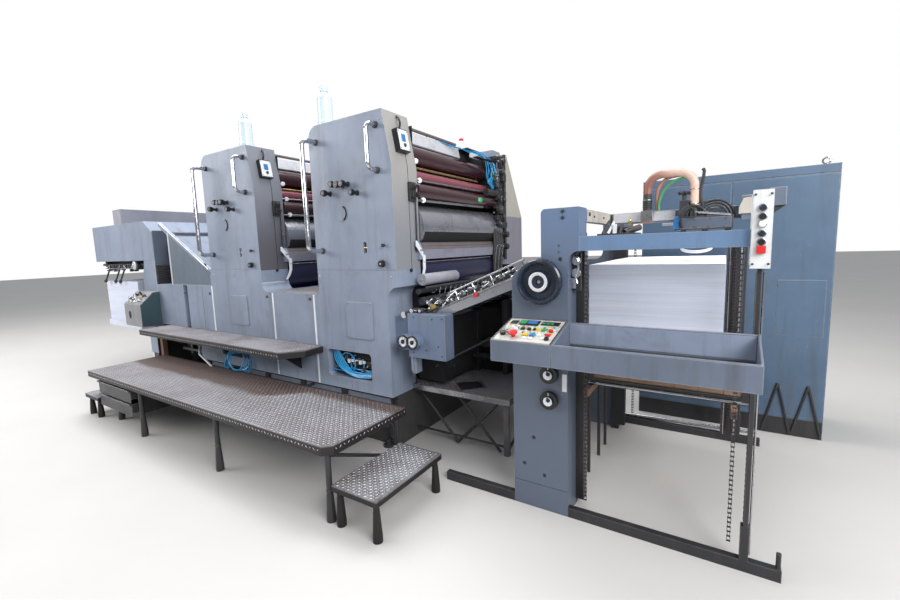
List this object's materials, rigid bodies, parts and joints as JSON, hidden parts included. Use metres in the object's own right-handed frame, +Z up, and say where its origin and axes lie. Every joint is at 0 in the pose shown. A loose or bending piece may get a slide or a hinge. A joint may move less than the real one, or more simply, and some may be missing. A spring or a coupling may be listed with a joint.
{
  "type": "offset printing press",
  "caption": "Sheet-fed offset printing press with two printing units, feeder, delivery, steps and control cabinet.",
  "frame": {"origin": "centre of the whole press's bounding box, at floor level", "axes": "+X along the press from the delivery to the feeder, +Y from the operator side to the drive side, +Z up"},
  "size_m": [6.505, 2.59, 2.285],
  "materials": {
    "press_grey": "semi-gloss enamel, oily and scuffed",
    "press_cream": "semi-gloss enamel, yellowed",
    "drive_grey": "semi-gloss enamel",
    "bed_dark": "dark, oily",
    "black_metal": "satin black",
    "tread_steel": "worn chequer plate",
    "chrome": "polished, slightly dulled",
    "plate_metal": "inky printing plate on steel",
    "blanket_rubber": "blue rubber blanket",
    "ink_rubber": "dark red rubber",
    "ink_rubber_pink": "pinkish red rubber",
    "black_plastic": "moulded black",
    "bottle_plastic": "translucent blue and white",
    "hose_blue": "blue air hose",
    "hose_brown": "brown suction hose",
    "panel_white": "white enamel",
    "paper": "cut sheets in a pile",
    "wood": "worn board",
    "cabinet_blue": "blue-grey hammered enamel"
  },
  "bodies": {
    "press": {"base_frame": "bed_dark", "unit_1_frame": "press_grey", "unit_2_frame": "press_grey", "unit_1_covers": "press_grey", "unit_2_covers": "press_grey", "unit_1_drive_cover": "press_cream", "unit_2_drive_cover": "press_cream", "handrails": "chrome", "unit_controls": "black_plastic", "solution_bottles": "bottle_plastic", "walkway": "press_grey", "service_hoses": "hose_blue", "delivery_housing": "press_grey", "delivery_hood": "press_grey", "delivery_side_panels": "press_grey", "delivery_duct": "drive_grey", "delivery_console": "panel_white", "delivery_levers": "black_metal", "running_board": "tread_steel", "platform_deck": "tread_steel", "platform_legs": "black_metal", "drawer_cabinet": "black_metal", "small_step": "tread_steel", "end_step": "tread_steel", "infeed_side_box": "press_grey", "feed_board": "plate_metal", "infeed_deck": "tread_steel", "feeder_column": "press_grey", "feeder_beam": "press_grey", "feeder_drive_side": "press_grey", "feeder_posts": "black_metal", "control_panel": "press_grey", "tool_tray": "press_grey", "button_box": "panel_white", "suction_head": "black_metal", "suction_hoses": "hose_brown", "pile_chains": "black_metal", "control_cabinet": "cabinet_blue"},
    "handwheel": {"handwheel": "black_plastic"},
    "upper_dial": {"upper_dial": "black_plastic"},
    "lower_dial": {"lower_dial": "black_plastic"},
    "feeder_pile": {"pile_table": "wood", "paper_stack": "paper"},
    "delivery_pile": {"delivery_pile": "paper"},
    "upper_drawer": {"upper_drawer": "press_grey"},
    "lower_drawer": {"lower_drawer": "press_grey"},
    "unit_1_plate_cylinder": {"unit_1_plate_cylinder": "plate_metal"},
    "unit_1_blanket_cylinder": {"unit_1_blanket_cylinder": "blanket_rubber"},
    "unit_1_ink_roller_a": {"unit_1_ink_roller_a": "ink_rubber"},
    "unit_1_ink_roller_b": {"unit_1_ink_roller_b": "ink_rubber_pink"},
    "unit_1_ink_roller_c": {"unit_1_ink_roller_c": "ink_rubber"},
    "unit_2_plate_cylinder": {"unit_2_plate_cylinder": "plate_metal"},
    "unit_2_blanket_cylinder": {"unit_2_blanket_cylinder": "blanket_rubber"},
    "unit_2_ink_roller_a": {"unit_2_ink_roller_a": "ink_rubber"},
    "unit_2_ink_roller_b": {"unit_2_ink_roller_b": "ink_rubber_pink"},
    "unit_2_ink_roller_c": {"unit_2_ink_roller_c": "ink_rubber"}
  },
  "joints": [
    {"name": "unit_1_plate_cylinder_spin", "type": "hinge", "parent": "press", "child": "unit_1_plate_cylinder", "pos_m": [0.9925, 0.225, 1.385], "axis": [0, 1, 0], "continuous": true},
    {"name": "unit_1_blanket_cylinder_spin", "type": "hinge", "parent": "press", "child": "unit_1_blanket_cylinder", "pos_m": [0.9755, 0.225, 1.08949], "axis": [0, 1, 0], "continuous": true},
    {"name": "unit_1_ink_roller_c_spin", "type": "hinge", "parent": "press", "child": "unit_1_ink_roller_c", "pos_m": [1.0725, 0.225, 1.601], "axis": [0, 1, 0], "continuous": true},
    {"name": "unit_1_ink_roller_b_spin", "type": "hinge", "parent": "press", "child": "unit_1_ink_roller_b", "pos_m": [1.0155, 0.225, 1.707], "axis": [0, 1, 0], "continuous": true},
    {"name": "unit_1_ink_roller_a_spin", "type": "hinge", "parent": "press", "child": "unit_1_ink_roller_a", "pos_m": [0.9615, 0.225, 1.844], "axis": [0, 1, 0], "continuous": true},
    {"name": "unit_2_plate_cylinder_spin", "type": "hinge", "parent": "press", "child": "unit_2_plate_cylinder", "pos_m": [-0.3145, 0.225, 1.385], "axis": [0, 1, 0], "continuous": true},
    {"name": "unit_2_blanket_cylinder_spin", "type": "hinge", "parent": "press", "child": "unit_2_blanket_cylinder", "pos_m": [-0.3315, 0.225, 1.08949], "axis": [0, 1, 0], "continuous": true},
    {"name": "unit_2_ink_roller_c_spin", "type": "hinge", "parent": "press", "child": "unit_2_ink_roller_c", "pos_m": [-0.2345, 0.225, 1.601], "axis": [0, 1, 0], "continuous": true},
    {"name": "unit_2_ink_roller_b_spin", "type": "hinge", "parent": "press", "child": "unit_2_ink_roller_b", "pos_m": [-0.2915, 0.225, 1.707], "axis": [0, 1, 0], "continuous": true},
    {"name": "unit_2_ink_roller_a_spin", "type": "hinge", "parent": "press", "child": "unit_2_ink_roller_a", "pos_m": [-0.3455, 0.225, 1.844], "axis": [0, 1, 0], "continuous": true},
    {"name": "handwheel_turn", "type": "hinge", "parent": "press", "child": "handwheel", "pos_m": [2.0345, -0.694, 1.084], "axis": [0, 1, 0], "continuous": true},
    {"name": "upper_dial_turn", "type": "hinge", "parent": "press", "child": "upper_dial", "pos_m": [2.0715, -0.694, 0.667], "axis": [0, 1, 0], "range_deg": [-135, 135]},
    {"name": "lower_dial_turn", "type": "hinge", "parent": "press", "child": "lower_dial", "pos_m": [2.0715, -0.694, 0.547], "axis": [0, 1, 0], "range_deg": [-135, 135]},
    {"name": "feeder_pile_lift", "type": "slide", "parent": "press", "child": "feeder_pile", "axis": [0, 0, 1], "range_m": [-0.42, 0.02]},
    {"name": "delivery_pile_lift", "type": "slide", "parent": "press", "child": "delivery_pile", "axis": [0, 0, 1], "range_m": [-0.42, 0.02]},
    {"name": "upper_drawer_slide", "type": "slide", "parent": "press", "child": "upper_drawer", "axis": [0, -1, 0], "range_m": [0, 0.3]},
    {"name": "lower_drawer_slide", "type": "slide", "parent": "press", "child": "lower_drawer", "axis": [0, -1, 0], "range_m": [0, 0.3]}
  ],
  "couplings": [
    {"joint": "unit_1_blanket_cylinder_spin", "follows": "unit_1_plate_cylinder_spin", "ratio": -1},
    {"joint": "unit_1_ink_roller_c_spin", "follows": "unit_1_plate_cylinder_spin", "ratio": -2.9},
    {"joint": "unit_1_ink_roller_b_spin", "follows": "unit_1_plate_cylinder_spin", "ratio": 4.1429},
    {"joint": "unit_1_ink_roller_a_spin", "follows": "unit_1_plate_cylinder_spin", "ratio": -2.197},
    {"joint": "unit_2_plate_cylinder_spin", "follows": "unit_1_plate_cylinder_spin", "ratio": 1},
    {"joint": "unit_2_blanket_cylinder_spin", "follows": "unit_1_plate_cylinder_spin", "ratio": -1},
    {"joint": "unit_2_ink_roller_c_spin", "follows": "unit_1_plate_cylinder_spin", "ratio": -2.9},
    {"joint": "unit_2_ink_roller_b_spin", "follows": "unit_1_plate_cylinder_spin", "ratio": 4.1429},
    {"joint": "unit_2_ink_roller_a_spin", "follows": "unit_1_plate_cylinder_spin", "ratio": -2.197}
  ]
}
